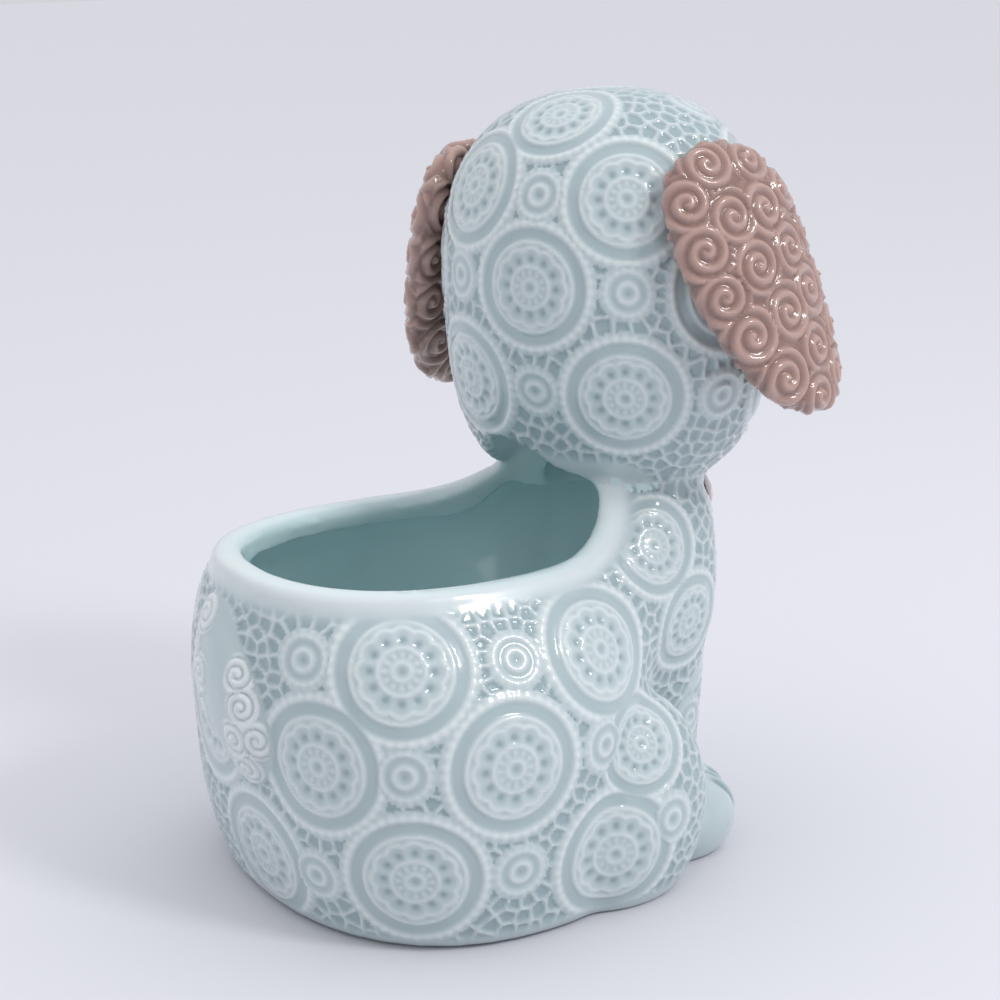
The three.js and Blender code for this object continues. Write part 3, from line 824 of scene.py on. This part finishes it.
for side, seed in EAR_SEEDS.items():
    ear = small_skin(side + "_ear", EAR_VOXEL, EAR_PAIRS)
    ear_points, ear_normals = points_of(ear), normals_of(ear)
    out = ear_points - HEAD_CENTRE
    out[:, 2] = 0
    out /= np.linalg.norm(out, axis=1)[:, None]
    outer = step(np.sum(out * ear_normals, axis=1), *EAR_TURN_OVER)
    relief = curls_over(ear_points, ear_normals, outer, EAR_PITCH, seed)
    relief += curls_over(ear_points, ear_normals, 1 - outer, EAR_PITCH, seed + 1)
    move_points(ear, ear_points + ear_normals * relief[:, None])
    keep_values(ear, "relief", relief)
    pieces[side + "_ear"] = ear
    print(side, "ear:", len(ear.data.polygons), "faces")

# %% Small pieces
FINE_VOXEL = 0.35
FINE_PAIRS = 16
for node in ("nose", "left_eye", "right_eye", "bow"):
    pieces[node] = small_skin(node, FINE_VOXEL, FINE_PAIRS)
print({node: len(pieces[node].data.polygons) for node in ("nose", "bow")})

# %% [markdown]
# ## Glazes
# Glazed earthenware, dipped and fired: a pale aqua body colour under a clear glossy coat. The
# eye gets a soft body from the rough colour below, and small sharp lights from the smooth coat.
# The colour is lighter where the glaze has run off the ridges and deeper where it has pooled,
# which reads as depth. Inside the pot the glaze is painted lighter and greener: painted bounce
# light, standing in for the light that bounces between the pot's walls. The pink glaze of the
# ears pools the same way, the bow's is so pale that it is nearly white, and the black of nose
# and eyes shows only its lights.

# %% Glazes
GLAZE_IOR = 1.5
GLAZE_ROUGHNESS = 0.28
COAT_ROUGHNESS = 0.06


def linear(code):
    """A colour as a painter writes it, turned into the amounts of light that Blender wants."""
    values = [int(code[i:i + 2], 16) / 255 for i in (1, 3, 5)]
    return [v / 12.92 if v <= 0.04045 else ((v + 0.055) / 1.055) ** 2.4 for v in values] + [1.0]


def add_node(tree, kind, inputs=None, **settings):
    """Adds a node with its settings; an input is a value, or another node's socket to link."""
    node = tree.nodes.new(kind)
    for key, value in settings.items():
        setattr(node, key, value)
    for key, value in (inputs or {}).items():
        if isinstance(value, bpy.types.NodeSocket):
            tree.links.new(value, node.inputs[key])
        else:
            node.inputs[key].default_value = value
    return node


def glaze(name, pool, middle, ridge, low, high, inside=None):
    """Colours for pools, the plain surface and ridges, over a relief from low to high in mm; the
    inside colour is painted bounce light.
    """
    material = bpy.data.materials.new(name)
    material.use_nodes = True
    tree = material.node_tree
    shader = tree.nodes["Principled BSDF"]
    relief = add_node(tree, "ShaderNodeAttribute", attribute_name="relief")
    share = add_node(tree, "ShaderNodeMapRange", {"Value": relief.outputs["Fac"],
                                                  "From Min": low, "From Max": high})
    ramp = add_node(tree, "ShaderNodeValToRGB", {"Fac": share.outputs["Result"]})
    ramp.color_ramp.elements[0].color = linear(pool)
    ramp.color_ramp.elements[1].color = linear(ridge)
    ramp.color_ramp.elements.new(-low / (high - low)).color = linear(middle)
    colour = ramp.outputs["Color"]
    # The inside colour is painted light: a lighter, greener tint on the pot's inner walls for the
    # light bounced between them.
    if inside:
        bounce_light_share = add_node(tree, "ShaderNodeAttribute", attribute_name="inside")
        mix = add_node(tree, "ShaderNodeMixRGB", {"Fac": bounce_light_share.outputs["Fac"], "Color1": colour,
                                                  "Color2": linear(inside)})
        colour = mix.outputs["Color"]
    tree.links.new(colour, shader.inputs["Base Color"])
    shader.inputs["Roughness"].default_value = GLAZE_ROUGHNESS
    shader.inputs["IOR"].default_value = GLAZE_IOR
    shader.inputs["Coat Weight"].default_value = 1.0
    shader.inputs["Coat Roughness"].default_value = COAT_ROUGHNESS
    return material


# The inside colour is painted bounce light; pool, middle and ridge are the glaze's own pooling and
# break.
aqua = glaze("glazed earthenware, aqua", "#8ba4aa", "#bdcccf", "#e2eaeb", -0.6, 0.5,
             inside="#cfe8ea")
pink = glaze("glazed earthenware, pink", "#6f4c45", "#8d6b62", "#bd9b91", -0.2, 1.3)
pale_pink = glaze("glazed earthenware, pale pink", "#c9b8bb", "#d8c9cd", "#e4d8dc", -0.5, 0.5)
black = glaze("glazed earthenware, black", "#0d0c0d", "#100f10", "#1a191a", -0.5, 0.5)
print("glazes:", [one.name for one in (aqua, pink, pale_pink, black)])

# %% Pieces in their glazes
finishes = {node: (aqua, "aqua_glaze") for node in SKIN_NODES}
finishes.update({"left_ear": (pink, "pink_glaze"), "right_ear": (pink, "pink_glaze"),
                 "bow": (pale_pink, "pink_glaze"), "nose": (black, "black_glaze"),
                 "left_eye": (black, "black_glaze"), "right_eye": (black, "black_glaze")})
for node, piece in [*pieces.items(), ("pot_body", chest)]:
    material, slot = finishes[node]
    piece.data.materials.clear()
    piece.data.materials.append(material)
    select_only(piece)
    bpy.ops.object.shade_smooth()
    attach(piece, "root")
    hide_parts(node)
print("dressed pieces:", sorted(pieces))

# %% [markdown]
# ## Floor and light
# Matt white paper, uncoated, on which the eye sees a soft shadow and no shine. It lies in a white
# tent, as in a product photograph: the light comes mostly from above, less from the camera's
# side, and one small softbox high on the photographer's right puts small lights on the glaze.
# What the camera or a reflection sees behind the paper is given its own plain colour. Lengths
# are in metres here.

# %% Floor
FLOOR_COLOUR = "#d6d6dc"
FLOOR_SIZE = 6
PAPER_ROUGHNESS = 0.9
bpy.ops.mesh.primitive_plane_add(size=FLOOR_SIZE, location=(0, 0, 0))
floor = bpy.context.object
floor.name = "floor"
paper = bpy.data.materials.new("matt white paper")
paper.use_nodes = True
paper_shader = paper.node_tree.nodes["Principled BSDF"]
paper_shader.inputs["Base Color"].default_value = linear(FLOOR_COLOUR)
paper_shader.inputs["Roughness"].default_value = PAPER_ROUGHNESS
floor.data.materials.append(paper)
print("paper on the floor,", FLOOR_SIZE, "m each way")

# %% Softbox
LAMP_PLACE = (-0.72, -0.35, 0.85)
LAMP_AIM = Vector((0, 0, 0.08))
LAMP_SIZE = 0.22
LAMP_POWER = 3.5
bpy.ops.object.light_add(type="AREA", location=LAMP_PLACE)
lamp = bpy.context.object
lamp.data.size = LAMP_SIZE
lamp.data.energy = LAMP_POWER
lamp.rotation_euler = (LAMP_AIM - lamp.location).to_track_quat("-Z", "Y").to_euler()
print("a softbox of", LAMP_SIZE, "m at", LAMP_PLACE)

# %% Tent and backdrop
TENT_COLOUR = "#f4f5f8"
BACK_COLOUR = "#d3d3d9"
SKY_SIDE = 0.48
SKY_RISE = 0.98
SKY_CAMERA_DROP = 0.48
SKY_RIGHT = 0.22
SKY_LEFT = 0.2
world = bpy.data.worlds.new("studio")
bpy.context.scene.world = world
world.use_nodes = True
sky = world.node_tree
tent = sky.nodes["Background"]
RIGHT = Vector((-math.cos(CAMERA_TURN), -math.sin(CAMERA_TURN), 0))
direction = add_node(sky, "ShaderNodeTexCoord").outputs["Generated"]
level = SKY_SIDE
for axis, amount in ((Vector((0, 0, 1)), SKY_RISE), (BEHIND, -SKY_CAMERA_DROP),
                     (RIGHT, SKY_RIGHT), (-RIGHT, SKY_LEFT)):
    share = add_node(sky, "ShaderNodeVectorMath", {0: direction, 1: axis}, operation="DOT_PRODUCT")
    part = add_node(sky, "ShaderNodeMath", {0: share.outputs["Value"], 1: 0.0}, operation="MAXIMUM")
    added = add_node(sky, "ShaderNodeMath", {0: part.outputs["Value"], 1: amount, 2: level},
                     operation="MULTIPLY_ADD")
    level = added.outputs["Value"]
tent.inputs["Color"].default_value = linear(TENT_COLOUR)
sky.links.new(level, tent.inputs["Strength"])
backdrop = add_node(sky, "ShaderNodeBackground", {"Color": linear(BACK_COLOUR), "Strength": 1.0})
path = add_node(sky, "ShaderNodeLightPath")
shown = path.outputs["Is Camera Ray"]
for ray in ("Is Glossy Ray", "Is Transmission Ray"):
    either = add_node(sky, "ShaderNodeMath", {0: shown, 1: path.outputs[ray]}, operation="MAXIMUM")
    shown = either.outputs["Value"]
seen = add_node(sky, "ShaderNodeMixShader", {0: shown, 1: tent.outputs["Background"],
                                             2: backdrop.outputs["Background"]})
sky.links.new(seen.outputs["Shader"], sky.nodes["World Output"].inputs["Surface"])
bpy.context.scene.view_settings.view_transform = "Standard"
print("the tent gives", SKY_SIDE, "at the sides and", SKY_SIDE + SKY_RISE, "overhead")
